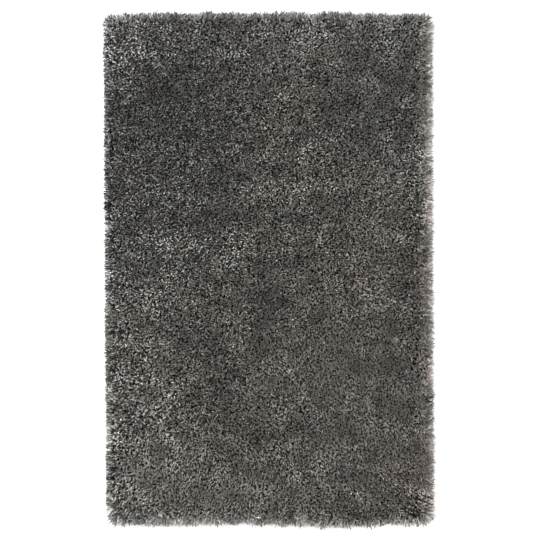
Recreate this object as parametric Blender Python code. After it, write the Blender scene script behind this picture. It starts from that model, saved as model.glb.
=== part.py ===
"""A deep-pile shag rug lying flat on the floor, as one solid.

The rug is a single tufted cloth: its cut pile hides the ground cloth and the edge, so all of it is one slab with
a flat underside, a lumpy top, a soft shoulder and a rim of yarn locks. X is the rug's width, Y its length and Z
is up. The origin is on the floor, under the middle of the rug. Lengths are in metres.
"""

import math
import random

import bmesh
import bpy
from mathutils import Vector, noise

# The pile's body between its rim locks. The rug measures 1.524 by 2.388 over the middle of the locks.
BODY_WIDTH = 1.508
BODY_LENGTH = 2.372
TOP_HEIGHT = 0.040

# The wall round the rim, from the top's edge over the shoulder to the widest line, the belly, and to the floor.
SHOULDER_IN = 0.034
SHOULDER_HEIGHT = 0.037
BROW_IN = 0.011
BROW_HEIGHT = 0.031
BELLY_HEIGHT = 0.018
FOOT_IN = 0.006

# How far the outline bows out from a straight rectangle, in millimetres. "along" runs from -1 to 1: up the left
# and right sides from the bottom, and along the top and bottom from the left.
OUTLINE_BOW = (
    # along, left, right, bottom, top
    (-1.00, -8.0, 5.0, -2.0, -2.0),
    (-0.75, -6.0, 5.0, 0.0, 0.0),
    (-0.50, -3.5, 2.0, -2.0, -1.0),
    (-0.25, -1.0, 1.0, -1.0, 0.0),
    (0.00, 0.5, -2.0, -1.0, 2.5),
    (0.25, 2.0, -1.0, 3.5, 1.0),
    (0.50, 4.5, -4.0, 8.0, -0.5),
    (0.75, 4.5, -2.5, 3.0, -1.5),
    (1.00, 7.5, -1.0, -2.0, -3.0),
)
CORNER_RADIUS = {
    ("left", "top"): 0.024,
    ("right", "top"): 0.028,
    ("left", "bottom"): 0.056,
    ("right", "bottom"): 0.032,
}

# The top's grid, and the lumps that its clumps of yarn make: broad swells and single clumps.
CELLS_ACROSS = 28
CELLS_ALONG = 44
LUMPS = (
    # across, height, seed
    (0.260, 0.0042, 3.0),
    (0.110, 0.0075, 11.0),
)

# The locks round the rim. They stand by turns high and low on the wall, two to a cell of the top's grid. A lock
# reaches this far out from the belly's line, and its tip may stand to one side of its root by the sweep.
LOCK_REACH = (0.012, 0.0245)
LOCK_ROOT_MARGIN = 0.002
LOCK_ROOT_WIDTH = 0.020
HIGH_ROOT_HEIGHT = 0.008
LOW_ROOT_HEIGHT = 0.011
LOCK_TIP_WIDTH = 0.006
LOCK_TIP_HEIGHT = 0.0035
LOCK_SWEEP = 0.008
HIGH_LOCK_DROP = (0.0016, 0.008)
LOW_LOCK_KNEE = 0.55
LOCK_SEED = 41

YARN_GREY = (0.078, 0.076, 0.069, 1.0)
YARN_ROUGHNESS = 0.82

MM = 0.001


def clear_scene():
    for thing in list(bpy.data.objects):
        bpy.data.objects.remove(thing, do_unlink=True)


def yarn_material():
    material = bpy.data.materials.new("pile_yarn")
    material.use_nodes = True
    shader = material.node_tree.nodes["Principled BSDF"]
    shader.inputs["Base Color"].default_value = YARN_GREY
    shader.inputs["Roughness"].default_value = YARN_ROUGHNESS
    shader.inputs["Metallic"].default_value = 0.0
    return material


def bow(column, along):
    """How far the outline stands out at a place along one side, from the table, in metres."""
    rows = [(row[0], row[column]) for row in OUTLINE_BOW]
    for (start, low), (end, high) in zip(rows, rows[1:]):
        if along <= end:
            share = (along - start) / (end - start)
            return (low + (high - low) * share) * MM
    return rows[-1][1] * MM


def round_corner(x, y, half_width, half_length):
    """Draws the square corner that this point is in to an arc."""
    radius = CORNER_RADIUS["left" if x < 0 else "right", "bottom" if y < 0 else "top"]
    centre = Vector((math.copysign(half_width - radius, x), math.copysign(half_length - radius, y)))
    out = Vector((x, y)) - centre
    if out.x * x <= 0 or out.y * y <= 0:
        return x, y
    reach = max(abs(out.x), abs(out.y))
    out *= reach / out.length
    return centre.x + out.x, centre.y + out.y


def outline_point(across, along, inset):
    """The floor place of a point of the rug: across and along run from -1 to 1, inset is in from the body's edge."""
    half_width = BODY_WIDTH / 2 - inset
    half_length = BODY_LENGTH / 2 - inset
    x, y = round_corner(across * half_width, along * half_length, half_width, half_length)
    x += (1 + across) / 2 * bow(2, along) - (1 - across) / 2 * bow(1, along)
    y += (1 + along) / 2 * bow(4, across) - (1 - along) / 2 * bow(3, across)
    return x, y


def lump(x, y):
    """The height of the pile's clumps over its mean top."""
    return sum(height * noise.noise(Vector((x / size, y / size, seed))) for size, height, seed in LUMPS)


def ring_out(mesh, edges, places, inset, height):
    """Extrudes the open edge loop to the next line of the wall. places holds each vertex's across and along."""
    made = bmesh.ops.extrude_edge_only(mesh, edges=edges)["geom"]
    verts = {item for item in made if isinstance(item, bmesh.types.BMVert)}
    for vert in verts:
        above = next(edge.other_vert(vert) for edge in vert.link_edges if edge.other_vert(vert) not in verts)
        places[vert] = places[above]
        vert.co = (*outline_point(*places[vert], inset), height)
    faces = [item for item in made if isinstance(item, bmesh.types.BMFace)]
    return [edge for edge in mesh.edges if edge.is_boundary and verts.issuperset(edge.verts)], faces


def slab(mesh):
    """Makes the slab, and returns the faces of its upper and of its lower wall."""
    bmesh.ops.create_grid(mesh, x_segments=CELLS_ACROSS, y_segments=CELLS_ALONG, size=1.0)
    rim = [edge for edge in mesh.edges if edge.is_boundary]
    bmesh.ops.subdivide_edges(mesh, edges=rim, cuts=1)
    places = {vert: (vert.co.x, vert.co.y) for vert in mesh.verts}
    for vert, place in places.items():
        x, y = outline_point(*place, SHOULDER_IN)
        height = SHOULDER_HEIGHT if vert.is_boundary else TOP_HEIGHT
        vert.co = (x, y, height + lump(x, y))
    edges = [edge for edge in mesh.edges if edge.is_boundary]
    edges, _ = ring_out(mesh, edges, places, BROW_IN, BROW_HEIGHT)
    edges, upper = ring_out(mesh, edges, places, 0.0, BELLY_HEIGHT)
    edges, lower = ring_out(mesh, edges, places, FOOT_IN, 0.0)
    bmesh.ops.contextual_create(mesh, geom=edges)
    return upper, lower


def round_the_rim(face):
    """The bearing of a wall's face from the middle of the rug."""
    middle = face.calc_center_median()
    return math.atan2(middle.y / BODY_LENGTH, middle.x / BODY_WIDTH)


def set_section(face, middle, sideways, width, height):
    """Puts a lock's four-sided section at a place, level and square to the floor."""
    old = face.calc_center_median()
    for vert in face.verts:
        side = math.copysign(width / 2, (vert.co - old).dot(sideways))
        rise = math.copysign(height / 2, vert.co.z - old.z)
        vert.co = middle + sideways * side + Vector((0, 0, rise))


def outward(face):
    """The level direction in which this face of the wall looks."""
    way = Vector((face.normal.x, face.normal.y, 0.0))
    return way.normalized()


def high_lock(mesh, face, draw):
    """A short lock that stands out from the upper wall and droops a little."""
    out = outward(face)
    sideways = Vector((-out.y, out.x, 0.0))
    root = face.calc_center_median()
    bmesh.ops.inset_individual(mesh, faces=[face], thickness=LOCK_ROOT_MARGIN)
    set_section(face, root, sideways, LOCK_ROOT_WIDTH, HIGH_ROOT_HEIGHT)
    for vert in face.verts:
        vert.co += out * (vert.co.z - root.z) * -(BROW_IN / (BROW_HEIGHT - BELLY_HEIGHT))
    tip = bmesh.ops.extrude_discrete_faces(mesh, faces=[face])["faces"][0]
    reach = draw.uniform(*LOCK_REACH) + BROW_IN / 2
    place = root + out * reach + sideways * draw.uniform(-LOCK_SWEEP, LOCK_SWEEP)
    place.z -= draw.uniform(*HIGH_LOCK_DROP)
    set_section(tip, place, sideways, LOCK_TIP_WIDTH, LOCK_TIP_HEIGHT)


def low_lock(mesh, face, draw):
    """A longer lock that falls from the lower wall and lies level on the floor to its tip."""
    out = outward(face)
    sideways = Vector((-out.y, out.x, 0.0))
    root = face.calc_center_median()
    bmesh.ops.inset_individual(mesh, faces=[face], thickness=LOCK_ROOT_MARGIN)
    set_section(face, root, sideways, LOCK_ROOT_WIDTH, LOW_ROOT_HEIGHT)
    for vert in face.verts:
        vert.co += out * (vert.co.z - root.z) * (FOOT_IN / BELLY_HEIGHT)
    reach = draw.uniform(*LOCK_REACH) + FOOT_IN / 2
    sweep = draw.uniform(-LOCK_SWEEP, LOCK_SWEEP)
    knee_height = (LOW_ROOT_HEIGHT + LOCK_TIP_HEIGHT) / 2
    knee = bmesh.ops.extrude_discrete_faces(mesh, faces=[face])["faces"][0]
    place = root + out * reach * LOW_LOCK_KNEE + sideways * sweep * LOW_LOCK_KNEE
    place.z = knee_height / 2
    set_section(knee, place, sideways, (LOCK_ROOT_WIDTH + LOCK_TIP_WIDTH) / 2, knee_height)
    tip = bmesh.ops.extrude_discrete_faces(mesh, faces=[knee])["faces"][0]
    place = root + out * reach + sideways * sweep
    place.z = LOCK_TIP_HEIGHT / 2
    set_section(tip, place, sideways, LOCK_TIP_WIDTH, LOCK_TIP_HEIGHT)


def rug():
    mesh = bmesh.new()
    upper, lower = slab(mesh)
    bmesh.ops.recalc_face_normals(mesh, faces=mesh.faces)
    draw = random.Random(LOCK_SEED)
    walls = zip(sorted(upper, key=round_the_rim), sorted(lower, key=round_the_rim))
    for turn, (high, low) in enumerate(walls):
        if turn % 2:
            high_lock(mesh, high, draw)
        else:
            low_lock(mesh, low, draw)
    data = bpy.data.meshes.new("shag_rug")
    mesh.to_mesh(data)
    mesh.free()
    thing = bpy.data.objects.new("shag_rug", data)
    data.materials.append(yarn_material())
    return thing


def main():
    clear_scene()
    parts = bpy.data.collections.new("shag_rug")
    bpy.context.scene.collection.children.link(parts)
    parts.objects.link(rug())


main()
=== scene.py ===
"""The looks of a deep-pile shag rug lying flat on the floor.

A ground cloth carries the tufted pile. Its cut yarn is drawn end by end: each end is a closed, tapered and
bent strand, and the strands are sorted by dye lot into a few joined meshes. A dark, lumpy bed between the
yarn's roots keeps the cloth from showing, and its near black is painted shade for the deep gaps between the
ends. X is the rug's width, Y its length and Z is up. Lengths are in metres, unless a comment says otherwise.
"""

import math

import bmesh
import bpy
import numpy as np
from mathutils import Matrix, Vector, noise


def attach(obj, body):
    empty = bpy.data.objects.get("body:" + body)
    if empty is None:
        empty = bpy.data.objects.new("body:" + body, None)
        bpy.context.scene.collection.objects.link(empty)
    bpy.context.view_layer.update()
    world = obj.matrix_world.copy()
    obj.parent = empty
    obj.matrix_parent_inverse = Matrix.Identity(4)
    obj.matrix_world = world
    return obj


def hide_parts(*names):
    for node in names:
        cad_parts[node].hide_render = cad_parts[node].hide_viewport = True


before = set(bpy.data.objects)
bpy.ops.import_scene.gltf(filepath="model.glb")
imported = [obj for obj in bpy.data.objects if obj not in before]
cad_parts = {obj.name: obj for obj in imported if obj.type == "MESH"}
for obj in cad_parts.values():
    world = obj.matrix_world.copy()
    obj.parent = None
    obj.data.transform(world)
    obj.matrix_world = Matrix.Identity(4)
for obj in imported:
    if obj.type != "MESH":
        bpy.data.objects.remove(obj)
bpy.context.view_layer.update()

MM = 0.001
SEED = 20
BODY = "root"
CAD_NODE = "shag_rug"

# ------------------------------------------------------------------------------
# The rug's plan, as in the solid: the pile's body between its rim locks, and how far its outline bows out.
# ------------------------------------------------------------------------------
BODY_WIDTH = 1.508
BODY_LENGTH = 2.372
OUTLINE_BOW = (
    # along, left, right, bottom, top (millimetres)
    (-1.00, -8.0, 5.0, -2.0, -2.0),
    (-0.75, -6.0, 5.0, 0.0, 0.0),
    (-0.50, -3.5, 2.0, -2.0, -1.0),
    (-0.25, -1.0, 1.0, -1.0, 0.0),
    (0.00, 0.5, -2.0, -1.0, 2.5),
    (0.25, 2.0, -1.0, 3.5, 1.0),
    (0.50, 4.5, -4.0, 8.0, -0.5),
    (0.75, 4.5, -2.5, 3.0, -1.5),
    (1.00, 7.5, -1.0, -2.0, -3.0),
)
CORNER_RADII = (
    # left, right
    (0.056, 0.032),  # bottom
    (0.024, 0.028),  # top
)

# Near a corner, the way out of the rug turns from one side's to the other's within about this distance.
CORNER_BLEND = 0.030

# The ground cloth, and the bed of yarn roots on it, which rises where the pile is calm and sinks at its edge.
CLOTH_WIDTH = 1.500
CLOTH_THICKNESS = 0.0022
CLOTH_LIFT = 0.0004
CLOTH_CELL = 0.050
BED_INSET = 0.018
BED_FOOT = 0.003
BED_TOP = 0.0245
BED_CELL = 0.024
BED_CALM_RISE = 0.007
BED_CALM_LIMITS = (-0.8, 0.5)
BED_EDGE_DROP = 0.008
BED_EDGE_BAND = 0.030

# The yarn: the pitch of its tufts, how many more there are to a metre of edge and how far in, where its roots
# stand, and one end's size. What stands above the pile's top is pressed down by the share TOP_PRESS.
TUFT_PITCH = 0.0088
EDGE_TUFTS = 340
EDGE_INSETS = (0.004, 0.045)
ROOT_INSET = 0.004
ROOT_HEIGHT = 0.012
RIM_ROOT_DROP = 0.004
PILE_TOP = 0.042
TOP_PRESS = 0.65
FLOOR_CLEARANCE = 0.0006
YARN_WIDTH = 0.0055
YARN_LENGTH = 0.031
SINGLE_PLY = 0.5
STRAND_SIDES = 3
STRAND_PROFILE = (
    # along, radius
    (0.00, 0.70),
    (0.50, 0.95),
    (0.92, 0.85),
    (1.00, 0.00),
)

# The pile's painted shading, which stands for the shading marks where its nap lies different ways. A patch is
# a soft oval where the ends are paler (tone above 0) or darker than elsewhere.
SHADE_PATCHES = (
    # x, y, half width, half length, tone
    (-0.54, 0.78, 0.20, 0.14, -1.30),
    (-0.56, 0.60, 0.26, 0.24, -0.30),
    (-0.21, 0.33, 0.14, 0.20, -0.60),
    (-0.24, 0.62, 0.10, 0.14, -0.50),
    (-0.10, 0.80, 0.22, 0.24, -0.50),
    (-0.34, 0.98, 0.14, 0.12, -0.40),
    (0.36, 0.75, 0.17, 0.14, -0.80),
    (0.36, 0.48, 0.07, 0.09, -0.60),
    (0.56, 0.60, 0.07, 0.09, -0.70),
    (0.58, 0.84, 0.08, 0.12, -0.50),
    (0.36, 0.32, 0.30, 0.06, -0.50),
    (0.33, 0.08, 0.10, 0.08, -0.35),
    (-0.02, -0.12, 0.07, 0.19, -1.20),
    (0.58, -0.05, 0.08, 0.10, -0.40),
    (0.68, -0.35, 0.08, 0.20, -0.45),
    (-0.42, -0.26, 0.16, 0.08, -0.75),
    (-0.26, -0.36, 0.12, 0.07, -0.45),
    (0.32, -0.44, 0.13, 0.07, -0.80),
    (-0.24, -0.58, 0.12, 0.14, -0.50),
    (-0.09, -0.82, 0.08, 0.10, -0.50),
    (-0.45, 0.20, 0.40, 0.06, -0.50),
    (0.48, -0.74, 0.32, 0.26, -0.25),
    (-0.64, 1.02, 0.14, 0.12, 0.80),
    (0.15, 1.08, 0.18, 0.10, 1.00),
    (0.58, 1.08, 0.20, 0.10, 0.50),
    (0.00, 1.06, 0.90, 0.12, 0.20),
    (0.10, 0.58, 0.70, 0.22, 0.25),
    (0.13, 0.40, 0.28, 0.08, 0.75),
    (0.62, 0.41, 0.13, 0.14, 0.65),
    (0.52, 0.15, 0.14, 0.07, 0.40),
    (0.46, -0.16, 0.06, 0.14, 0.50),
    (0.28, -0.12, 0.10, 0.12, 0.40),
    (-0.10, 0.15, 0.10, 0.14, 0.70),
    (-0.42, 0.12, 0.22, 0.05, 0.65),
    (-0.55, -0.13, 0.25, 0.06, 0.45),
    (-0.62, -0.30, 0.12, 0.20, 0.40),
    (-0.71, -0.60, 0.07, 0.50, 0.55),
    (-0.60, -0.80, 0.20, 0.40, 0.60),
    (-0.35, -0.86, 0.14, 0.12, 0.40),
    (-0.07, -0.60, 0.06, 0.12, 0.50),
    (0.02, -0.96, 0.50, 0.08, 0.30),
    (-0.38, -1.06, 0.40, 0.10, 0.40),
    (-0.72, -1.15, 0.08, 0.06, 0.15),
    (0.30, -1.04, 0.20, 0.10, 0.30),
    (-0.70, 0.80, 0.06, 0.06, 0.50),
    (-0.21, 0.59, 0.06, 0.06, -0.45),
    (-0.52, -0.94, 0.07, 0.10, -0.45),
    (-0.68, -0.80, 0.06, 0.08, 0.35),
    (-0.70, 0.07, 0.05, 0.05, -0.40),
    (-0.70, -0.24, 0.05, 0.05, 0.40),
    (0.00, -0.76, 0.09, 0.04, -0.50),
    (-0.06, -0.55, 0.12, 0.05, 0.35),
    (0.43, -0.12, 0.05, 0.13, 0.35),
    (0.22, -0.34, 0.12, 0.04, -0.25),
)
# Patches of rosier yarn (above 0) and of cooler grey yarn (below 0).
HUE_PATCHES = (
    # x, y, half width, half length, warmth
    (0.44, -0.12, 0.05, 0.16, 1.7),
    (0.34, -0.36, 0.20, 0.045, 1.9),
    (0.02, -0.76, 0.08, 0.05, 1.6),
    (0.62, -0.96, 0.14, 0.14, 1.3),
    (0.50, -1.18, 0.30, 0.04, 0.8),
    (0.00, 0.68, 0.10, 0.12, 0.6),
    (-0.52, 0.62, 0.42, 0.55, -0.8),
    (-0.66, 0.02, 0.14, 0.22, -0.5),
    (0.00, 1.15, 1.20, 0.20, -0.5),
    (0.60, 0.80, 0.24, 0.35, -0.6),
    (-0.62, -0.85, 0.24, 0.45, -0.3),
)
# Where single ends stand out from each other more (contrast above 0) or less than elsewhere. Where they do
# less, the pile is calm: its ends are wider and matted together, over a higher bed.
CRISP_PATCHES = (
    # x, y, half width, half length, contrast
    (-0.74, -0.10, 0.16, 1.20, 0.10),
    (-0.50, 0.60, 0.40, 0.50, 0.85),
    (-0.70, 1.05, 0.25, 0.20, 0.20),
    (-0.70, -1.13, 0.12, 0.10, 0.55),
    (-0.45, 0.02, 0.40, 0.20, 0.20),
    (0.20, 0.98, 0.60, 0.22, -0.12),
    (0.10, 0.40, 0.40, 0.30, 0.08),
    (-0.28, -0.44, 0.15, 0.15, 0.30),
    (0.20, -0.42, 0.40, 0.22, -0.40),
    (0.55, -0.75, 0.30, 0.35, -0.35),
    (-0.25, -1.04, 0.45, 0.18, -0.55),
    (-0.60, -0.72, 0.25, 0.35, -0.05),
    (0.30, 0.75, 0.14, 0.14, 0.20),
    (0.70, -1.13, 0.06, 0.05, 1.00),
    (0.68, 0.05, 0.04, 0.95, 0.40),
    (0.55, 0.10, 0.10, 0.50, -0.22),
)
CALM_LIMITS = (-0.8, 0.35)
CALM_WIDENING = 0.36
CALM_MATTING = 1.1
MOST_MATTING = 0.75

# Smooth clouds over the plan, in layers: how far a layer's swells are across, its seed and its weight.
SWIRL_CLOUDS = ((0.085, 5.0, 2.2 * math.pi),)
LENGTH_CLOUDS = ((0.055, 9.0, 0.12),)
CRISP_CLOUDS = ((0.110, 53.0, 0.7),)
TONE_CLOUDS = ((0.045, 31.0, 1.0),)
GAIN_CLOUDS = ((0.100, 37.0, 1.1), (0.300, 43.0, 0.6))
BED_CLOUDS = ((0.045, 3.0, 0.0022), (0.020, 7.0, 0.0014))

# How the rim differs by side. The hem is the locks that hang over the edge, and the band is the standing pile
# along it. Thin is the share of ends that are single plies. The tones and the warmth are added to the ends'
# own, and contrast is the share of the usual differences in tone. Overhang is how far the hem reaches past
# the body, lock is the pitch of its locks, teeth is how much its reach differs from lock to lock, and stray
# is how far single ends turn aside, in radians. Loose is the number of loose fibres to a metre.
RIM_COLUMNS = (
    "side", "band", "thin", "pile_tone", "hem_tone", "contrast",
    "warmth", "overhang", "lock", "teeth", "stray", "loose",
)
# The pile's and the hem's tones are in part painted light and shade: the band is paler for the brighter light
# at the rug's open edge, and the left hem darker for its locks' own shade.
RIM_SIDES = (
    ("right", 0.060, 0.70, 1.30, 0.85, 1.15, 0.9, 0.0178, 0.015, 0.7, 0.26, 900),
    ("top", 0.042, 0.10, 0.80, 0.10, 0.95, 0.1, 0.0121, 0.020, 2.7, 0.50, 60),
    ("left", 0.036, 0.05, 1.30, -0.75, 1.15, 0.0, 0.0170, 0.020, 0.4, 0.45, 60),
    ("bottom", 0.050, 0.10, 0.20, 0.50, 1.05, 0.0, 0.0110, 0.023, 3.6, 0.48, 60),
)
# Where the pile is combed one way.
COMBED_PATCHES = (
    # x, y, half width, half length, lean to the right, lean to the back
    (-0.70, -1.13, 0.14, 0.13, -0.014, -0.012),
    (-0.76, -0.20, 0.05, 0.80, -0.006, 0.000),
    (-0.20, -1.01, 0.34, 0.13, -0.003, -0.014),
    (-0.52, -0.85, 0.12, 0.24, -0.008, -0.010),
    (0.50, -0.80, 0.34, 0.40, 0.006, -0.011),
    (0.20, -0.42, 0.40, 0.18, 0.004, -0.010),
)
# Where the hem reaches farther out than elsewhere, or less far, as a share of its overhang.
LONG_PATCHES = (
    # x, y, half width, half length, share
    (-0.75, -1.18, 0.06, 0.08, 0.25),
    (-0.74, 1.21, 0.07, 0.06, -0.45),
    (0.68, -1.20, 0.12, 0.08, -0.50),
    (0.76, 0.45, 0.10, 0.35, 0.15),
    (-0.60, -1.20, 0.12, 0.08, -0.20),
)

# The yarn ends lean together in clumps this far apart, and the hem's ends draw together in locks. A pull is
# the share of the way to its clump's or its lock's middle by which an end leans, and the pull of the clumps
# grows by RIM_PULL towards the rim.
CLUMP_PITCH = 0.021
CLUMP_PULL = 0.22
RIM_PULL = 0.40
LOCK_PULL = 0.55
LOCK_MARGIN = 0.15
CLUMP_SEED = 8
CLUMP_TABLE = 160
LOCK_TABLE = 400

# How much each thing makes the hem's reach differ: its clumps, its locks, and the point of each lock.
CLUMP_TEETH = 0.30
LOCK_TEETH = 0.50
POINT_TEETH = 0.60
LEAST_REACH = 0.1

# How the standing ends differ. An end leans this far by itself, and more across the rug than along it. At the
# rim it also leans out, by a share of the hem's reach. Turns are in radians, and droops are in degrees. A
# section's first corner is turned to a way aside that rises a little, so it is never the end's own way.
OWN_LEAN = (0.002, 0.013)
LEAN_SPREAD = (1.25, 0.80)
RIM_LEAN = (0.0, 1.5)
MOST_LEAN = 0.92
SWIRL_CHANCE = 1.5
ROOT_BEND = 0.5
TIP_BEND = 1.5
PILE_DROOP = (-8, 32)
PILE_CLUMP_TURN = 1.2
# A clump's own tone is painted light and shade: its ends are made paler or darker together, as a clump lit as
# one.
PILE_CLUMP_TONE = 0.4
PILE_CURL = 1.0
PILE_LENGTH_CHANCE = 0.10
PILE_WIDTHS = (0.82, 1.15)
CURL_START = 0.3
ASIDE_RISE = 0.2

# The hem's rows, from the cloth's edge up to the shoulder. Slack is an end's length for each metre that it
# reaches, and droop is how far it bends down, in degrees.
HEM_ROWS = (
    # inset, height, share of the overhang, slack, droop, pitch
    (0.017, 0.0035, 0.95, 1.05, 4, 0.0060),
    (0.018, 0.0080, 1.05, 1.08, 14, 0.0060),
    (0.019, 0.0130, 1.00, 1.12, 26, 0.0064),
    (0.020, 0.0180, 0.85, 1.20, 32, 0.0068),
    (0.022, 0.0220, 0.65, 1.32, 36, 0.0072),
)
HEM_REACH_CHANCE = 0.12
HEM_HEIGHT_CHANCE = 0.0012
HEM_DROOP_CHANCE = 10
HEM_CLUMP_TURN = 0.8
HEM_CURL = 0.6
HEM_WIDTHS = (0.85, 1.15)
HEM_GAIN = 0.6

# The loose fibres. They crowd towards the edge, and their roots stand higher farther in.
FIBRE_CROWDING = 1.8
FIBRE_EDGE_ROOT = 0.008
FIBRE_TOP_ROOT = 0.026
FIBRE_ROOT_CHANCE = 0.006
FIBRE_TURN = 0.7
FIBRE_CURL = 1.8
FIBRE_ROOT_TILTS = (55, 85)
FIBRE_TIP_TILTS = (70, 112)
FIBRE_LENGTHS = (0.018, 0.038)
FIBRE_WIDTHS = (0.0014, 0.0028)

# The dye, and painted shading. Single ends differ in shade by CRISPNESS and in hue by HUE_CHANCE, and the
# pile's brightness differs from place to place by GAIN_STRENGTH, as painted light and shade for the shading
# marks of its nap. The rug is a little darker towards its far end.
CRISPNESS = 0.9
HUE_CHANCE = 0.10
GAIN_STRENGTH = 0.58
GAIN_PATCHES = 1.1
FAR_END_GAIN = -0.10
DYE_LOTS = (
    # name, share of the ends, dark, light, green and blue for each part of red, sheen
    ("pile_charcoal", 0.11, 0.006, 0.052, (0.956, 0.800), 0.02),
    ("pile_slate", 0.18, 0.064, 0.138, (0.964, 0.826), 0.03),
    ("pile_grey", 0.22, 0.141, 0.187, (0.968, 0.853), 0.05),
    ("pile_ash", 0.22, 0.189, 0.237, (0.973, 0.880), 0.06),
    ("pile_stone", 0.17, 0.243, 0.328, (0.980, 0.912), 0.08),
    ("pile_silver", 0.10, 0.350, 0.605, (0.986, 0.930), 0.10),
)
FIBRE_DARK = 0.07
FIBRE_LIGHT = 0.40
FIBRE_TINT = (0.972, 0.860)
FIBRE_SHEEN = 0.3
FIBRE_SHADE = 0.3
FIBRE_TONE_SHARE = 0.3
COOL_TINT = (0.985, 0.990, 1.090, 1.0)
ROSY_TINT = (1.064, 0.980, 0.984, 1.0)
WHITE = (1.0, 1.0, 1.0, 1.0)

# How an end's warmth and its painted shading gain are stored in its colour attribute, where a half stands
# for no change.
WARMTH_SCALE = 0.25
WARMTH_MIDDLE = 0.5
GAIN_SCALE = 0.5

# The yarn's finish, with painted light: its plies and how often they wind round it, the grain of its fibre
# and of its flecks for each metre, how bright it is from its root up, where its lower part is painted shade,
# and from fleck to fleck, where the flecks are partly the fibre's own tone and partly painted glints, and how
# bright where matted, in place of both.
PLIES = 3.0
PLY_TURNS = 7.0
PLY_RELIEF = 0.5
FIBRE_GRAIN = 900.0
FLECK_GRAIN = 230.0
FLECK_LIMITS = (0.32, 0.68)
FLECK_AND_GLINT_GAIN = (0.54, 1.40)
ROOT_SHADE = (0.10, 1.0)
ROOT_SHADE_RUN = (0.10, 0.70)
MATTED_GAIN = 0.66
YARN_ROUGHNESS = 0.50
FIBRE_ROUGHNESS = 0.25
YARN_SHINE = 0.20
SHEEN_ROUGHNESS = 0.35
YARN_BUMP = 0.0006
WHOLE = (0.0, 1.0)

# The bed's finish is dark yarn with grey flecks, darkened to near black as painted shade, and the cloth's is
# a plain weave with a period of two tapes.
# A finish is a plain colour and its roughness, and what is seen is mixed from the two colours below it.
BED_FINISH = ((0.020, 0.020, 0.019), 0.95)
BED_SHADE_AND_YARN_COLOURS = ((0.002, 0.002, 0.002, 1.0), (0.125, 0.120, 0.106, 1.0))
BED_SHINE = 0.1
BED_FLECK_GRAIN = 150.0
BED_FLECK_LIMITS = (0.48, 0.582)
BED_BUMP = 0.003
CLOTH_FINISH = ((0.30, 0.29, 0.27), 0.85)
CLOTH_COLOURS = ((0.24, 0.23, 0.21, 1.0), (0.38, 0.37, 0.34, 1.0))
WEAVE_PERIOD = 0.006
WEAVE_BUMP = 0.0008
WEAR_GRAIN = 24.0

# The yarn's map: the root's cap lies in a strip below the sides. The bake's map has a cell for each end.
CAP_MAP = ((0.02, 0.0), (0.48, 0.0), (0.25, 0.05))
CAP_STRIP = 0.07
BAKE_MARGIN = 0.06
NEAR = 1e-6

# The camera stands straight above the rug, far off, as for a catalogue picture. Its sensor is in millimetres.
CAMERA_HEIGHT = 12.0
CAMERA_REACH = 60.0
FRAME_WIDTH = 2.538
FRAME_MIDDLE = (0.006, -0.0044)
SENSOR_WIDTH = 36.0

# The studio is a white room, with two square softboxes that face the rug and a floor that reaches this far.
ROOM_LIGHT = 0.95
SOFTBOX_SIZE = 2.4
SOFTBOXES = (
    # name, place, watts
    ("softbox_left", (-3.0, 1.5, 4.2), 260.0),
    ("softbox_right", (3.2, -0.8, 3.6), 120.0),
)
FLOOR_REACH = 12.0
FLOOR_FINISH = ((0.92, 0.92, 0.92), 0.9)


# ------------------------------------------------------------------------------
# The plan's geometry
# ------------------------------------------------------------------------------
def bow(column, along):
    """How far the outline stands out at places along one side, from the table."""
    table = np.array(OUTLINE_BOW)
    return np.interp(along, table[:, 0], table[:, column]) * MM


def plan_places(across, along, inset):
    """Floor places for arrays of across and along, which run from -1 to 1 over the body less the inset."""
    half = np.array([BODY_WIDTH / 2 - inset, BODY_LENGTH / 2 - inset])
    flat = np.stack([across, along], 1) * half
    radius = np.array(CORNER_RADII)[(along > 0).astype(int), (across > 0).astype(int)]
    side = np.where(flat < 0, -1.0, 1.0)
    centre = side * (half - radius[:, None])
    out = flat - centre
    in_corner = (out * side > 0).all(1)
    reach = np.abs(out).max(1)
    span = np.maximum(np.linalg.norm(out, axis=1), 1e-9)
    round_off = centre + out * (reach / span)[:, None]
    flat = np.where(in_corner[:, None], round_off, flat)
    flat[:, 0] += (1 + across) / 2 * bow(2, along) - (1 - across) / 2 * bow(1, along)
    flat[:, 1] += (1 + along) / 2 * bow(4, across) - (1 - along) / 2 * bow(3, across)
    return flat


def side_distances(across, along):
    """How far places lie in from the nearer long side of the body, and from its nearer end."""
    return (1 - np.abs(across)) * BODY_WIDTH / 2, (1 - np.abs(along)) * BODY_LENGTH / 2


def edge_distance(across, along):
    """How far places lie in from the body's edge."""
    return np.minimum(*side_distances(across, along))


def outward_heading(across, along):
    """The level direction out of the rug. Near a corner it turns gradually from one side's to the other's."""
    to_side, to_end = side_distances(across, along)
    nearest = np.minimum(to_side, to_end)
    x = np.sign(across) * np.exp((nearest - to_side) / CORNER_BLEND)
    y = np.sign(along) * np.exp((nearest - to_end) / CORNER_BLEND)
    return np.arctan2(y, x)


# ------------------------------------------------------------------------------
# Fields over the plan
# ------------------------------------------------------------------------------
def clouds(places, layers):
    """The sum of layers of smooth noise at floor places. A layer is its swells' size, a seed and a weight."""
    total = np.zeros(len(places))
    for size, seed, weight in layers:
        total += weight * np.array([noise.noise(Vector((x / size, y / size, seed))) for x, y in places])
    return total


def patches(places, table, item=4):
    """The sum of a table's soft ovals at floor places. Each row's item is how much it adds at its middle."""
    total = np.zeros(len(places))
    for row in table:
        span = ((places[:, 0] - row[0]) / row[2]) ** 2 + ((places[:, 1] - row[1]) / row[3]) ** 2
        total += row[item] * np.exp(-span)
    return total


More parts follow.
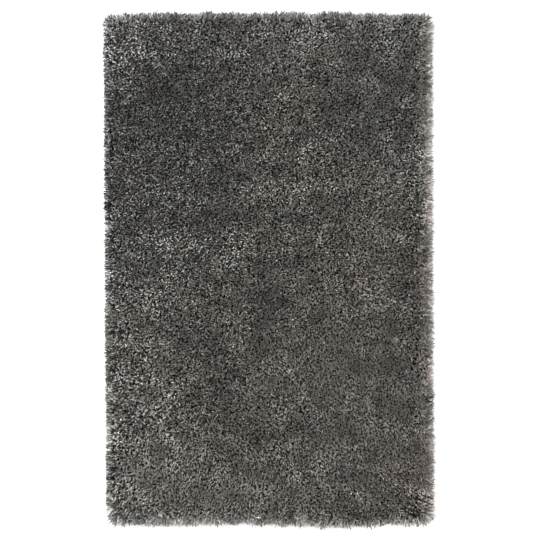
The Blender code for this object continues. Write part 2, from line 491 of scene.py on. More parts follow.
def clumps(places):
    """The vector from each floor place to its clump's middle, and the clump's own turn, teeth and tone."""
    chance = np.random.default_rng(CLUMP_SEED).uniform(0, 1, (CLUMP_TABLE, CLUMP_TABLE, 6))
    home = np.floor(places / CLUMP_PITCH).astype(int)
    nearest = np.full(len(places), np.inf)
    toward = np.zeros_like(places)
    facts = np.zeros((len(places), 3))
    for step in np.ndindex(3, 3):
        cell = home + np.array(step) - 1
        row = chance[cell[:, 0] % CLUMP_TABLE, cell[:, 1] % CLUMP_TABLE]
        gap = (cell + row[:, :2]) * CLUMP_PITCH - places
        far = np.linalg.norm(gap, axis=1)
        nearer = far < nearest
        nearest = np.where(nearer, far, nearest)
        toward[nearer] = gap[nearer]
        facts[nearer] = row[nearer, 2:5]
    return toward, facts.T


def locks(run, sides):
    """How far it is along the rim to each place's lock, in locks, and a number of the lock's own."""
    chance = np.random.default_rng(CLUMP_SEED).uniform(0, 1, (len(RIM_SIDES), LOCK_TABLE, 2))
    home = np.floor(run).astype(int)
    gap = np.full(len(run), np.inf)
    own = np.zeros(len(run))
    for step in (-1, 0, 1):
        row = chance[sides, (home + step) % LOCK_TABLE]
        far = home + step + LOCK_MARGIN + (1 - 2 * LOCK_MARGIN) * row[:, 0] - run
        nearer = np.abs(far) < np.abs(gap)
        gap = np.where(nearer, far, gap)
        own = np.where(nearer, row[:, 1], own)
    return gap, own


def rim_side(across, along):
    """The nearest side of each place, as a row of the table of sides."""
    to_side, to_end = side_distances(across, along)
    flank = np.where(across > 0, 0, 2)
    end = np.where(along > 0, 1, 3)
    return np.where(to_side <= to_end, flank, end)


def rim_column(sides, column):
    """One column of the table of sides, for arrays of its rows."""
    return np.array([row[RIM_COLUMNS.index(column)] for row in RIM_SIDES])[sides]


def hem_reach(edges, sides):
    """How far the hem reaches out at places on the body's edge, with the vectors to its locks' middles.

    Its locks stand in a row along each side, which runs along Y where its number is even.
    """
    _, (_, clump_teeth, _) = clumps(edges)
    pitch = rim_column(sides, "lock")
    way = np.where((sides % 2 == 0)[:, None], (0.0, 1.0), (1.0, 0.0))
    gap, lock = locks((edges * way).sum(1) / pitch, sides)
    point = np.clip(1 - 2 * np.abs(gap), 0, 1)
    teeth = CLUMP_TEETH * (clump_teeth - 0.5) + LOCK_TEETH * (lock - 0.5) + POINT_TEETH * (point - 0.5)
    stretch = 1.0 + rim_column(sides, "teeth") * teeth + patches(edges, LONG_PATCHES)
    return rim_column(sides, "overhang") * np.maximum(stretch, LEAST_REACH), way * (gap * pitch)[:, None]


def cover(places):
    """How wide the ends are by place. Where the pile is calm they are wider, with fewer gaps between."""
    return 1 - CALM_WIDENING * np.clip(patches(places, CRISP_PATCHES), *CALM_LIMITS)


def matting(places):
    """How far the ends are matted together by place, from 0 to 1, so that the painted shade at their roots is
    weaker.
    """
    return np.clip(-CALM_MATTING * patches(places, CRISP_PATCHES), 0, MOST_MATTING)


def single_plies(sides, band, draw):
    """The share of the full width for each end: near the rim some are single plies."""
    return np.where(draw.uniform(0, 1, len(sides)) < band * rim_column(sides, "thin"), SINGLE_PLY, 1.0)


def yarn_tone(places, draw):
    """Each end's shade before it is ranked: its own chance, more or less crisp by place, and small clouds."""
    crisp = CRISPNESS + patches(places, CRISP_PATCHES) + clouds(places, CRISP_CLOUDS)
    return crisp * draw.normal(0, 1.0, len(places)) + clouds(places, TONE_CLOUDS)


def yarn_gain(places):
    """How bright the pile is by place, as painted shading: soft clouds, a slope along the rug, and the
    patches.
    """
    slope = FAR_END_GAIN * places[:, 1] / BODY_LENGTH * 2
    patched = GAIN_PATCHES * patches(places, SHADE_PATCHES)
    return np.exp(GAIN_STRENGTH * (clouds(places, GAIN_CLOUDS) + slope + patched))


def yarn_warmth(places, draw):
    """Each end's hue: below 0 it is a cooler grey, and above 0 a rosier one."""
    return patches(places, HUE_PATCHES) + draw.normal(0, HUE_CHANCE, len(places))


# ------------------------------------------------------------------------------
# How each yarn end stands: arrays of the ends' roots, bends, sizes and dyes
# ------------------------------------------------------------------------------
def square_walk(run):
    """Places on a square's edge: a run of 0 to 1 is up the right side, then come top, left and bottom."""
    side = np.floor(run).astype(int) % 4
    share = (run % 1.0) * 2 - 1
    across = np.choose(side, [np.ones_like(share), -share, -np.ones_like(share), share])
    along = np.choose(side, [share, np.ones_like(share), -share, -np.ones_like(share)])
    return across, along


def tuft_roots(draw):
    """Jittered rows of tufts over the whole body, and more of them along its edge, as across and along."""
    columns = round(BODY_WIDTH / TUFT_PITCH)
    rows = round(BODY_LENGTH / TUFT_PITCH)
    across, along = np.meshgrid(np.arange(columns), np.arange(rows))
    across = across.ravel() + draw.uniform(0.0, 1.0, columns * rows)
    along = along.ravel() + draw.uniform(0.0, 1.0, columns * rows)
    extra = round(EDGE_TUFTS * 2 * (BODY_WIDTH + BODY_LENGTH))
    side, end = square_walk(draw.uniform(0, len(RIM_SIDES), extra))
    inset = draw.uniform(*EDGE_INSETS, extra)
    across = np.concatenate([across / columns * 2 - 1, side * (1 - inset / (BODY_WIDTH / 2))])
    along = np.concatenate([along / rows * 2 - 1, end * (1 - inset / (BODY_LENGTH / 2))])
    return across, along


def unit(bearing):
    """Level vectors of length 1 that point along these bearings."""
    return np.stack([np.cos(bearing), np.sin(bearing)], 1)


def joined(groups):
    """Groups of ends as one."""
    return {key: np.concatenate([group[key] for group in groups]) for key in groups[0]}


def pile_ends(draw):
    """The standing pile: every end leans by chance and with its clump, and near the rim it leans out."""
    across, along = tuft_roots(draw)
    count = len(across)
    places = plan_places(across, along, ROOT_INSET)
    edge = edge_distance(across, along)
    sides = rim_side(across, along)
    band = np.clip(1 - edge / rim_column(sides, "band"), 0, 1)
    toward, (clump_turn, _, clump_tone) = clumps(places)
    swirl = clouds(places, SWIRL_CLOUDS) + draw.normal(0, SWIRL_CHANCE, count)
    lean = toward * (CLUMP_PULL + RIM_PULL * band)[:, None]
    lean += unit(swirl) * LEAN_SPREAD * draw.uniform(*OWN_LEAN, count)[:, None]
    lean += np.stack([patches(places, COMBED_PATCHES, item) for item in (4, 5)], 1)
    heading = outward_heading(across, along)
    out = unit(heading + PILE_CLUMP_TURN * (clump_turn - 0.5))
    hem, _ = hem_reach(places + unit(heading) * edge[:, None], sides)
    lean += out * (band * (hem * draw.uniform(*RIM_LEAN, count)))[:, None]
    length = YARN_LENGTH * draw.normal(1, PILE_LENGTH_CHANCE, count) * (1 + clouds(places, LENGTH_CLOUDS))
    tilt = np.arcsin(np.clip(np.linalg.norm(lean, axis=1) / length, 0, MOST_LEAN))
    curl = draw.normal(0, PILE_CURL, count)
    droop = np.radians(draw.uniform(*PILE_DROOP, count))
    width = YARN_WIDTH * draw.uniform(*PILE_WIDTHS, count) * single_plies(sides, band, draw) * cover(places)
    contrast = 1 - (1 - rim_column(sides, "contrast")) * band
    # The clump's tone is painted light and shade.
    tone = (yarn_tone(places, draw) + PILE_CLUMP_TONE * (clump_tone - 0.5)) * contrast
    return {
        "root": np.column_stack([places, ROOT_HEIGHT - RIM_ROOT_DROP * band]),
        "heading": np.arctan2(lean[:, 1], lean[:, 0]),
        "curl": curl,
        "root_tilt": tilt * ROOT_BEND,
        "tip_tilt": tilt * TIP_BEND + droop,
        "length": length,
        "width": width,
        "tone": tone + band * rim_column(sides, "pile_tone"),
        "warmth": yarn_warmth(places, draw) + np.sqrt(band) * rim_column(sides, "warmth"),
        "gain": yarn_gain(places) ** contrast,
        "matted": matting(places),
    }


def hem_row(draw, inset, height, share, slack, droop, pitch):
    """One row of the hem: its ends reach out over the edge, drawn together in locks, and droop."""
    count = round(2 * (BODY_WIDTH + BODY_LENGTH) / pitch)
    run = (np.arange(count) + draw.uniform(0, 1, count)) / count * len(RIM_SIDES)
    across, along = square_walk(run)
    sides = rim_side(across, along)
    places = plan_places(across, along, inset)
    edges = plan_places(across, along, 0.0)
    _, (clump_turn, _, clump_tone) = clumps(edges)
    overhang, toward = hem_reach(edges, sides)
    heading = outward_heading(across, along)
    square = 1 / np.maximum(np.abs(np.cos(heading)), np.abs(np.sin(heading)))
    reach = inset + share * overhang * draw.normal(1, HEM_REACH_CHANCE, count)
    stray = rim_column(sides, "stray") * draw.normal(0, 1, count)
    out = unit(heading + HEM_CLUMP_TURN * (clump_turn - 0.5) + stray)
    lean = toward * LOCK_PULL + out * (reach * square)[:, None]
    tilt = math.asin(1 / slack)
    contrast = rim_column(sides, "contrast")
    return {
        "root": np.column_stack([places, height + draw.normal(0, HEM_HEIGHT_CHANCE, count)]),
        "heading": np.arctan2(lean[:, 1], lean[:, 0]),
        "curl": draw.normal(0, HEM_CURL, count),
        "root_tilt": np.full(count, tilt - math.radians(droop / 2)),
        "tip_tilt": tilt + np.radians(droop + draw.normal(0, HEM_DROOP_CHANCE, count)),
        "length": np.linalg.norm(lean, axis=1) * slack,
        "width": YARN_WIDTH * draw.uniform(*HEM_WIDTHS, count) * single_plies(sides, 1.0, draw),
        # The clump's tone is painted light and shade.
        "tone": (yarn_tone(places, draw) + clump_tone - 0.5) * contrast + rim_column(sides, "hem_tone"),
        "warmth": yarn_warmth(places, draw) + rim_column(sides, "warmth"),
        "gain": yarn_gain(places) ** (HEM_GAIN * contrast),
        "matted": np.zeros(count),
    }


def hem_ends(draw):
    """The locks that hang over the cloth's edge, from its lowest tufts to the shoulder."""
    return joined([hem_row(draw, *row) for row in HEM_ROWS])


def fibres_of_side(draw, number, run):
    """The loose fibres of one side, which is this long and has this row in the table of sides."""
    facts = dict(zip(RIM_COLUMNS, RIM_SIDES[number]))
    count = round(facts["loose"] * run)
    across, along = square_walk(number + draw.uniform(0, 1, count))
    inset = facts["band"] * draw.uniform(0, 1, count) ** FIBRE_CROWDING
    outer = plan_places(across, along, 0.0)
    inner = plan_places(across, along, facts["band"])
    places = outer + (inner - outer) * (inset / facts["band"])[:, None]
    height = np.minimum(FIBRE_EDGE_ROOT + inset, FIBRE_TOP_ROOT) + draw.uniform(0, FIBRE_ROOT_CHANCE, count)
    return {
        "root": np.column_stack([places, height]),
        "heading": outward_heading(across, along) + draw.normal(0, FIBRE_TURN, count),
        "curl": draw.normal(0, FIBRE_CURL, count),
        "root_tilt": np.radians(draw.uniform(*FIBRE_ROOT_TILTS, count)),
        "tip_tilt": np.radians(draw.uniform(*FIBRE_TIP_TILTS, count)),
        "length": draw.uniform(*FIBRE_LENGTHS, count),
        "width": draw.uniform(*FIBRE_WIDTHS, count),
        "tone": yarn_tone(places, draw) + facts["pile_tone"],
        "warmth": yarn_warmth(places, draw) + facts["warmth"],
        "gain": yarn_gain(places) ** facts["contrast"],
        "matted": np.zeros(count),
    }


def loose_fibres(draw):
    """Fine fibres that stray from the pile near the rim, most of them on the worn right side."""
    runs = (BODY_LENGTH, BODY_WIDTH, BODY_LENGTH, BODY_WIDTH)
    return joined([fibres_of_side(draw, number, run) for number, run in enumerate(runs)])


# ------------------------------------------------------------------------------
# One yarn end, and joined copies of it
# ------------------------------------------------------------------------------
def yarn_end():
    """A closed strand of unit length that ends in a point, as arrays that the copies are made from."""
    shape = bmesh.new()
    bmesh.ops.create_cone(shape, cap_ends=True, segments=STRAND_SIDES, radius1=1.0, radius2=0.0, depth=1.0)
    bmesh.ops.translate(shape, verts=shape.verts, vec=(0, 0, 0.5))
    for height, _ in STRAND_PROFILE[1:-1]:
        whole = shape.verts[:] + shape.edges[:] + shape.faces[:]
        bmesh.ops.bisect_plane(shape, geom=whole, plane_co=(0, 0, height), plane_no=(0, 0, 1))
    bmesh.ops.remove_doubles(shape, verts=shape.verts, dist=1e-5)
    bmesh.ops.recalc_face_normals(shape, faces=shape.faces)
    shape.verts.index_update()
    corners = [[loop.vert.index for loop in face.loops] for face in shape.faces]
    verts = np.array([vert.co for vert in shape.verts])
    shape.free()
    along = verts[:, 2]
    profile = np.array(STRAND_PROFILE)
    bearing = np.arctan2(verts[:, 1], verts[:, 0])
    radius = np.interp(along, profile[:, 0], profile[:, 1])
    return {"along": along, "bearing": bearing, "radius": radius, "corners": corners}


def end_map(end):
    """A flat map of one end in a unit square: its sides stand side by side, with the root's cap below."""
    places = []
    for face in end["corners"]:
        along = end["along"][face]
        if along.max() < NEAR:
            places += CAP_MAP
            continue
        turn = (end["bearing"][face] / (2 * math.pi)) % 1.0
        foot = along < 1 - NEAR
        if turn[foot].max() - turn[foot].min() > 0.5:
            turn = np.where(turn > 0.5, turn - 1.0, turn)
        first, last = turn[foot].min(), turn[foot].max()
        side = math.floor(first * STRAND_SIDES + 1e-3)
        turn = np.where(foot, turn, (last + first) / 2)
        turn = turn - side / STRAND_SIDES + (side % STRAND_SIDES) / STRAND_SIDES
        places += [(u, CAP_STRIP + (1 - CAP_STRIP) * v) for u, v in zip(turn, along)]
    return np.array(places)


def centre_lines(ends, along):
    """The middle of each end at each ring: it leaves the root at one tilt, and bends and turns as it goes."""
    steps = np.unique(along)
    heights = np.concatenate([[0.0], (steps[1:] + steps[:-1]) / 2])
    lengths = np.diff(steps, prepend=0.0)
    middle = np.zeros((len(ends["length"]), len(steps), 3))
    ahead = np.zeros_like(middle)
    place = ends["root"].copy()
    for index, (height, run) in enumerate(zip(heights, lengths)):
        tilt = ends["root_tilt"] + (ends["tip_tilt"] - ends["root_tilt"]) * height
        heading = ends["heading"] + ends["curl"] * (height - CURL_START)
        way = np.stack([np.sin(tilt) * np.cos(heading), np.sin(tilt) * np.sin(heading), np.cos(tilt)], 1)
        place = place + way * (ends["length"] * run)[:, None]
        middle[:, index] = place
        ahead[:, index] = way
    lowest = ends["width"][:, None] / 2 + FLOOR_CLEARANCE
    over = np.maximum(middle[:, :, 2] - PILE_TOP, 0)
    middle[:, :, 2] = np.maximum(middle[:, :, 2] - TOP_PRESS * over, lowest)
    return steps, middle, ahead


def strand_verts(end, ends, draw):
    """The vertices of all the ends: sections square to their middle lines, each end rolled by chance."""
    steps, middle, ahead = centre_lines(ends, end["along"])
    ring = np.searchsorted(steps, end["along"] - NEAR)
    count = len(ends["length"])
    roll = draw.uniform(0, 2 * math.pi, count)
    aside = np.stack([np.cos(roll), np.sin(roll), np.full(count, ASIDE_RISE)], 1)[:, None, :]
    across = aside - (aside * ahead).sum(2, keepdims=True) * ahead
    across /= np.linalg.norm(across, axis=2, keepdims=True)
    up = np.cross(ahead, across)
    half = (ends["width"] / 2)[:, None, None] * end["radius"][None, :, None]
    turn = end["bearing"][None, :, None]
    return middle[:, ring] + half * (np.cos(turn) * across[:, ring] + np.sin(turn) * up[:, ring])


def strand_mesh(name, end, verts):
    """A mesh with the yarn end's faces on every copy's vertices."""
    count = len(verts)
    sizes = np.array([len(face) for face in end["corners"]])
    loops = np.concatenate([np.array(face) for face in end["corners"]])
    offsets = np.arange(count)[:, None] * len(end["along"])
    mesh = bpy.data.meshes.new(name)
    mesh.vertices.add(verts.shape[0] * verts.shape[1])
    mesh.vertices.foreach_set("co", verts.astype(np.float32).ravel())
    mesh.loops.add(count * len(loops))
    mesh.loops.foreach_set("vertex_index", (offsets + loops[None, :]).ravel())
    mesh.polygons.add(count * len(sizes))
    starts = np.concatenate([[0], np.cumsum(np.tile(sizes, count))[:-1]])
    mesh.polygons.foreach_set("loop_start", starts)
    mesh.update(calc_edges=True)
    mesh.polygons.foreach_set("use_smooth", np.ones(count * len(sizes), bool))
    return mesh


def add_maps(mesh, end, count):
    """The yarn's own map, the same for every end, and the bake's map, with a cell for each."""
    local = end_map(end)
    run = mesh.uv_layers.new(name="yarn_run")
    run.data.foreach_set("uv", np.tile(local, (count, 1)).astype(np.float32).ravel())
    cells = math.ceil(math.sqrt(count))
    cell = np.stack([np.arange(count) % cells, np.arange(count) // cells], 1)
    placed = (cell[:, None, :] + BAKE_MARGIN + (1 - 2 * BAKE_MARGIN) * local[None, :, :]) / cells
    bake = mesh.uv_layers.new(name="OFBake")
    bake.data.foreach_set("uv", placed.astype(np.float32).ravel())


def add_dye_and_painted_shade(mesh, end, ends):
    """Each end's shade and warmth of dye, its gain of painted shading and its matting, as one colour
    attribute.
    """
    warmth = ends["warmth"] * WARMTH_SCALE + WARMTH_MIDDLE
    facts = np.stack([ends["shade"], warmth, ends["gain"] * GAIN_SCALE, ends["matted"]], 1)
    dye_and_painted_shade = mesh.attributes.new("dye_and_painted_shade", "FLOAT_COLOR", "POINT")
    dye_and_painted_shade.data.foreach_set("color", np.repeat(facts, len(end["along"]), 0).astype(np.float32).ravel())


def add_ends(name, ends, material, draw):
    """One piece of all these yarn ends."""
    end = yarn_end()
    mesh = strand_mesh(name, end, strand_verts(end, ends, draw))
    add_maps(mesh, end, len(ends["length"]))
    add_dye_and_painted_shade(mesh, end, ends)
    mesh.validate()
    return add_object(name, mesh, material)


# ------------------------------------------------------------------------------
# The ground cloth and the bed of roots
# ------------------------------------------------------------------------------
def add_object(name, mesh, material):
    """An object of this mesh at the origin."""
    mesh.materials.append(material)
    thing = bpy.data.objects.new(name, mesh)
    bpy.context.scene.collection.objects.link(thing)
    return thing


def add_shape(name, shape, material, smooth=False):
    """An object of this bmesh, which is used up."""
    mesh = bpy.data.meshes.new(name)
    shape.to_mesh(mesh)
    shape.free()
    mesh.polygons.foreach_set("use_smooth", np.full(len(mesh.polygons), smooth))
    return add_object(name, mesh, material)


def plan_grid(shape, cell, inset):
    """A grid in the shape of the rug's plan, set in from the body's edge."""
    columns = round(BODY_WIDTH / cell)
    rows = round(BODY_LENGTH / cell)
    bmesh.ops.create_grid(shape, x_segments=columns, y_segments=rows, size=1.0)
    flat = np.array([vert.co for vert in shape.verts])
    places = plan_places(flat[:, 0], flat[:, 1], inset)
    for vert, (x, y) in zip(shape.verts, places):
        vert.co = (x, y, 0.0)
    return flat[:, 0], flat[:, 1], places


def ground_cloth(material):
    """The cloth as a thin sheet with the rug's outline."""
    shape = bmesh.new()
    plan_grid(shape, CLOTH_CELL, (BODY_WIDTH - CLOTH_WIDTH) / 2)
    bmesh.ops.translate(shape, verts=shape.verts, vec=(0, 0, CLOTH_LIFT))
    made = bmesh.ops.extrude_face_region(shape, geom=shape.faces[:])["geom"]
    top = [item for item in made if isinstance(item, bmesh.types.BMVert)]
    bmesh.ops.translate(shape, verts=top, vec=(0, 0, CLOTH_THICKNESS))
    bmesh.ops.recalc_face_normals(shape, faces=shape.faces)
    return add_shape("ground_cloth", shape, material)


def root_bed(material):
    """The lumpy bed of packed yarn between the roots, closed below."""
    shape = bmesh.new()
    across, along, places = plan_grid(shape, BED_CELL, BED_INSET)
    calm_rise = BED_CALM_RISE * np.clip(patches(places, CRISP_PATCHES), *BED_CALM_LIMITS)
    edge_drop = BED_EDGE_DROP * np.clip(1 - edge_distance(across, along) / BED_EDGE_BAND, 0, 1)
    height = BED_TOP + (clouds(places, BED_CLOUDS) - calm_rise) - edge_drop
    for vert, top in zip(shape.verts, height):
        vert.co.z = top
    made = bmesh.ops.extrude_face_region(shape, geom=shape.faces[:])["geom"]
    foot = [item for item in made if isinstance(item, bmesh.types.BMVert)]
    for vert in foot:
        vert.co.z = BED_FOOT
    bmesh.ops.recalc_face_normals(shape, faces=shape.faces)
    return add_shape("root_bed", shape, material, smooth=True)


# ------------------------------------------------------------------------------
# Materials
# ------------------------------------------------------------------------------
def new_group(name, inputs, outputs):
    """A shader node group with these (socket, type) inputs and outputs, and its input and output nodes."""
    group = bpy.data.node_groups.new(name, "ShaderNodeTree")
    for socket, kind in inputs:
        group.interface.new_socket(name=socket, in_out="INPUT", socket_type=kind)
    for socket, kind in outputs:
        group.interface.new_socket(name=socket, in_out="OUTPUT", socket_type=kind)
    return group, group.nodes.new("NodeGroupInput"), group.nodes.new("NodeGroupOutput")


def feed(tree, socket, value):
    """Links another node's output to this socket, or sets the socket to a plain value."""
    if isinstance(value, bpy.types.NodeSocket):
        tree.links.new(value, socket)
    else:
        socket.default_value = value


def math_node(tree, operation, *values):
    node = tree.nodes.new("ShaderNodeMath")
    node.operation = operation
    for socket, value in zip(node.inputs, values):
        feed(tree, socket, value)
    return node.outputs[0]


def mix_node(tree, share, first, second, blend="MIX"):
    node = tree.nodes.new("ShaderNodeMix")
    node.data_type = "RGBA"
    node.blend_type = blend
    for name, value in (("Factor_Float", share), ("A_Color", first), ("B_Color", second)):
        feed(tree, next(item for item in node.inputs if item.identifier == name), value)
    return next(item for item in node.outputs if item.identifier == "Result_Color")


def noise_node(tree, vector, scale, detail):
    node = tree.nodes.new("ShaderNodeTexNoise")
    for name, value in (("Scale", scale), ("Detail", detail), ("Vector", vector)):
        feed(tree, node.inputs[name], value)
    return node.outputs["Fac"]


def stretch_node(tree, value, given, wanted):
    """Maps a value from the given range, as its two ends, to the wanted one."""
    node = tree.nodes.new("ShaderNodeMapRange")
    names = ("Value", "From Min", "From Max", "To Min", "To Max")
    for name, amount in zip(names, (value, *given, *wanted)):
        feed(tree, node.inputs[name], amount)
    return node.outputs["Result"]


def grey_node(tree, value):
    node = tree.nodes.new("ShaderNodeCombineColor")
    for channel in ("Red", "Green", "Blue"):
        tree.links.new(value, node.inputs[channel])
    return node.outputs["Color"]


def hue_node(tree, warmth):
    """The tint for a stored warmth: cool, neutral or rosy."""
    hue = tree.nodes.new("ShaderNodeValToRGB")
    tree.links.new(warmth, hue.inputs["Fac"])
    cool, rosy = hue.color_ramp.elements
    cool.position = WARMTH_MIDDLE - WARMTH_SCALE
    cool.color = COOL_TINT
    rosy.position = WARMTH_MIDDLE + WARMTH_SCALE
    rosy.color = ROSY_TINT
    hue.color_ramp.elements.new(WARMTH_MIDDLE).color = WHITE
    return hue.outputs["Color"]


def yarn_group():
    """The finish of a twisted yarn end: heathered fibre, plies that wind up it, and a root of painted shade.
    """
    group, given, out = new_group(
        "yarn_finish_and_painted_shade",
        (
            ("Dye_and_painted_shade", "NodeSocketColor"),
            ("Dark", "NodeSocketColor"),
            ("Light", "NodeSocketColor"),
            ("Matted", "NodeSocketFloat"),
            ("Plies", "NodeSocketFloat"),
        ),
        (
            ("Color", "NodeSocketColor"),
            ("Roughness", "NodeSocketFloat"),
            ("Height", "NodeSocketFloat"),
        ),
    )
    run = group.nodes.new("ShaderNodeUVMap")
    run.uv_map = "yarn_run"
    parts = group.nodes.new("ShaderNodeSeparateXYZ")
    group.links.new(run.outputs["UV"], parts.inputs[0])
    place = group.nodes.new("ShaderNodeTexCoord").outputs["Object"]
    facts = group.nodes.new("ShaderNodeSeparateColor")
    group.links.new(given.outputs["Dye_and_painted_shade"], facts.inputs["Color"])

    winding = math_node(group, "MULTIPLY", parts.outputs["Y"], PLY_TURNS)
    winding = math_node(group, "ADD", winding, parts.outputs["X"])
    turns = math_node(group, "MULTIPLY", winding, given.outputs["Plies"])
    ply = math_node(group, "SINE", math_node(group, "MULTIPLY", turns, 2 * math.pi))
    fibre = noise_node(group, place, FIBRE_GRAIN, 2.0)
    fleck = stretch_node(group, noise_node(group, place, FLECK_GRAIN, 1.0), FLECK_LIMITS, WHOLE)

    # Painted shade darkens each end towards its root, and the flecks are partly painted glints.
    painted_root_shade = stretch_node(group, parts.outputs["Y"], ROOT_SHADE_RUN, ROOT_SHADE)
    painted_shade_and_flecks = math_node(group, "MULTIPLY", painted_root_shade, stretch_node(group, fleck, WHOLE, FLECK_AND_GLINT_GAIN))
    painted_shade_and_flecks = stretch_node(group, given.outputs["Matted"], WHOLE, (painted_shade_and_flecks, MATTED_GAIN))
    # The pile's painted shading by place.
    gain = math_node(group, "MULTIPLY", facts.outputs["Blue"], 1 / GAIN_SCALE)
    shade = math_node(group, "MULTIPLY", painted_shade_and_flecks, gain)
    colour = mix_node(group, facts.outputs["Red"], given.outputs["Dark"], given.outputs["Light"])
    colour = mix_node(group, 1.0, colour, hue_node(group, facts.outputs["Green"]), "MULTIPLY")
    colour = mix_node(group, 1.0, colour, grey_node(group, shade), "MULTIPLY")
    group.links.new(colour, out.inputs["Color"])

    rough = math_node(group, "MULTIPLY", fibre, FIBRE_ROUGHNESS)
    rough = math_node(group, "ADD", rough, YARN_ROUGHNESS)
    group.links.new(rough, out.inputs["Roughness"])
    height = math_node(group, "ADD", math_node(group, "MULTIPLY", ply, PLY_RELIEF), fibre)
    group.links.new(height, out.inputs["Height"])
    return group


def new_material(name, colour, roughness):
    material = bpy.data.materials.new(name)
    material.use_nodes = True
    material.diffuse_color = (*colour, 1.0)
    shader = material.node_tree.nodes["Principled BSDF"]
    shader.inputs["Base Color"].default_value = (*colour, 1.0)
    shader.inputs["Roughness"].default_value = roughness
    return material, material.node_tree, shader


def add_bump(tree, shader, height, strength, distance):
    bump = tree.nodes.new("ShaderNodeBump")
    bump.inputs["Strength"].default_value = strength
    bump.inputs["Distance"].default_value = distance
    tree.links.new(height, bump.inputs["Height"])
    tree.links.new(bump.outputs["Normal"], shader.inputs["Normal"])


def yarn_material(name, group, dark, light, sheen):
    """One dye lot's yarn, from its darkest to its lightest ends."""
    material, tree, shader = new_material(name, light, 0.55)
    finish_and_painted_shade = tree.nodes.new("ShaderNodeGroup")
    finish_and_painted_shade.node_tree = group
    dye_and_painted_shade = tree.nodes.new("ShaderNodeAttribute")
    dye_and_painted_shade.attribute_name = "dye_and_painted_shade"
    tree.links.new(dye_and_painted_shade.outputs["Color"], finish_and_painted_shade.inputs["Dye_and_painted_shade"])
    tree.links.new(dye_and_painted_shade.outputs["Alpha"], finish_and_painted_shade.inputs["Matted"])
    finish_and_painted_shade.inputs["Dark"].default_value = (*dark, 1.0)
    finish_and_painted_shade.inputs["Light"].default_value = (*light, 1.0)
    finish_and_painted_shade.inputs["Plies"].default_value = PLIES
    tree.links.new(finish_and_painted_shade.outputs["Color"], shader.inputs["Base Color"])
    tree.links.new(finish_and_painted_shade.outputs["Roughness"], shader.inputs["Roughness"])
    shader.inputs["Specular IOR Level"].default_value = YARN_SHINE
    shader.inputs["Sheen Weight"].default_value = sheen
    shader.inputs["Sheen Roughness"].default_value = SHEEN_ROUGHNESS
    add_bump(tree, shader, finish_and_painted_shade.outputs["Height"], 0.5, YARN_BUMP)
    return material


def bed_material():
    """Packed yarn seen down between the ends: near black as painted shade, flecked with grey, with a felted
    bump.
    """
    material, tree, shader = new_material("packed_roots_painted_shade", *BED_FINISH)
    place = tree.nodes.new("ShaderNodeTexCoord").outputs["Object"]
    fleck = stretch_node(tree, noise_node(tree, place, BED_FLECK_GRAIN, 1.0), BED_FLECK_LIMITS, WHOLE)
    colour = mix_node(tree, fleck, *BED_SHADE_AND_YARN_COLOURS)
    tree.links.new(colour, shader.inputs["Base Color"])
    shader.inputs["Specular IOR Level"].default_value = BED_SHINE
    add_bump(tree, shader, fleck, 1.0, BED_BUMP)
    return material


def cloth_material():
    """The woven ground cloth under its coat of latex: a plain weave of 3 mm tapes, in pale grey."""
    material, tree, shader = new_material("woven_backing", *CLOTH_FINISH)
    place = tree.nodes.new("ShaderNodeTexCoord").outputs["Object"]
    parts = tree.nodes.new("ShaderNodeSeparateXYZ")
    tree.links.new(place, parts.inputs[0])
    warp, weft = (
        math_node(tree, "SINE", math_node(tree, "MULTIPLY", parts.outputs[axis], 2 * math.pi / WEAVE_PERIOD))
        for axis in ("X", "Y")
    )
    weave = math_node(tree, "MULTIPLY", warp, weft)
    wear = noise_node(tree, place, WEAR_GRAIN, 4.0)
    colour = mix_node(tree, wear, *CLOTH_COLOURS)
    tree.links.new(colour, shader.inputs["Base Color"])
    add_bump(tree, shader, weave, 0.6, WEAVE_BUMP)
    return material


# ------------------------------------------------------------------------------
# Camera, light and floor
# ------------------------------------------------------------------------------
def add_camera():
    data = bpy.data.cameras.new("camera")
    data.sensor_width = SENSOR_WIDTH
    data.lens = SENSOR_WIDTH * CAMERA_HEIGHT / FRAME_WIDTH
    data.clip_end = CAMERA_REACH
    camera = bpy.data.objects.new("camera", data)
    camera.location = (*FRAME_MIDDLE, CAMERA_HEIGHT)
    bpy.context.scene.collection.objects.link(camera)
    bpy.context.scene.camera = camera


def add_softbox(name, place, watts):
    """A square light that faces the middle of the rug."""
    data = bpy.data.lights.new(name, "AREA")
    data.size = SOFTBOX_SIZE
    data.energy = watts
    box = bpy.data.objects.new(name, data)
    box.location = place
    box.rotation_euler = (-Vector(place)).to_track_quat("-Z", "Y").to_euler()
    bpy.context.scene.collection.objects.link(box)


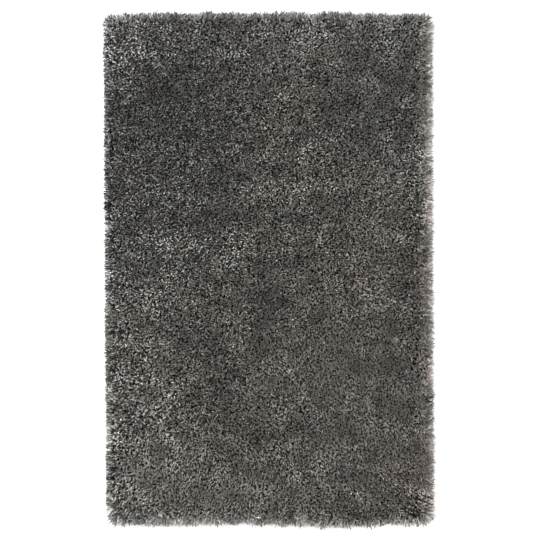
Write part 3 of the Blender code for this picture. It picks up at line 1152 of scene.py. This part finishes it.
def add_light():
    world = bpy.data.worlds.new("studio")
    world.use_nodes = True
    world.node_tree.nodes["Background"].inputs["Color"].default_value = WHITE
    world.node_tree.nodes["Background"].inputs["Strength"].default_value = ROOM_LIGHT
    bpy.context.scene.world = world
    bpy.context.scene.view_settings.view_transform = "Standard"
    for name, place, watts in SOFTBOXES:
        add_softbox(name, place, watts)


def add_floor():
    material, _, _ = new_material("studio_floor", *FLOOR_FINISH)
    shape = bmesh.new()
    bmesh.ops.create_grid(shape, x_segments=1, y_segments=1, size=FLOOR_REACH)
    floor = add_shape("studio_floor", shape, material)
    return floor


# ------------------------------------------------------------------------------
# The whole rug
# ------------------------------------------------------------------------------
def yarn_colour(level, tint):
    """A yarn's colour from its red, with green and blue for each part of it."""
    return (level, level * tint[0], level * tint[1])


def add_pile(draw):
    """The pile and its hem, sorted by tone into one piece for each dye lot, and the loose fibres."""
    group = yarn_group()
    ends = joined([pile_ends(draw), hem_ends(draw)])
    rank = np.argsort(np.argsort(ends["tone"])) / len(ends["tone"])
    pieces = []
    low = 0.0
    for name, share, dark, light, tint, sheen in DYE_LOTS:
        mask = (rank >= low) & (rank < low + share + 1e-9)
        lot = {key: values[mask] for key, values in ends.items()}
        lot["shade"] = (rank[mask] - low) / share
        colours = yarn_colour(dark, tint), yarn_colour(light, tint)
        material = yarn_material(name.replace("pile", "yarn"), group, *colours, sheen)
        pieces.append(add_ends(name, lot, material, draw))
        low += share
    fibres = loose_fibres(draw)
    fibres["shade"] = np.clip(fibres["tone"] * FIBRE_TONE_SHARE + FIBRE_SHADE, 0, 1)
    colours = yarn_colour(FIBRE_DARK, FIBRE_TINT), yarn_colour(FIBRE_LIGHT, FIBRE_TINT)
    material = yarn_material("yarn_fibre", group, *colours, FIBRE_SHEEN)
    pieces.append(add_ends("loose_fibres", fibres, material, draw))
    return pieces


def main():
    draw = np.random.default_rng(SEED)
    add_camera()
    add_light()
    floor = add_floor()
    cloth = ground_cloth(cloth_material())
    bed = root_bed(bed_material())
    pile = add_pile(draw)
    for piece in (cloth, bed, *pile):
        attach(piece, BODY)
        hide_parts(CAD_NODE)


main()
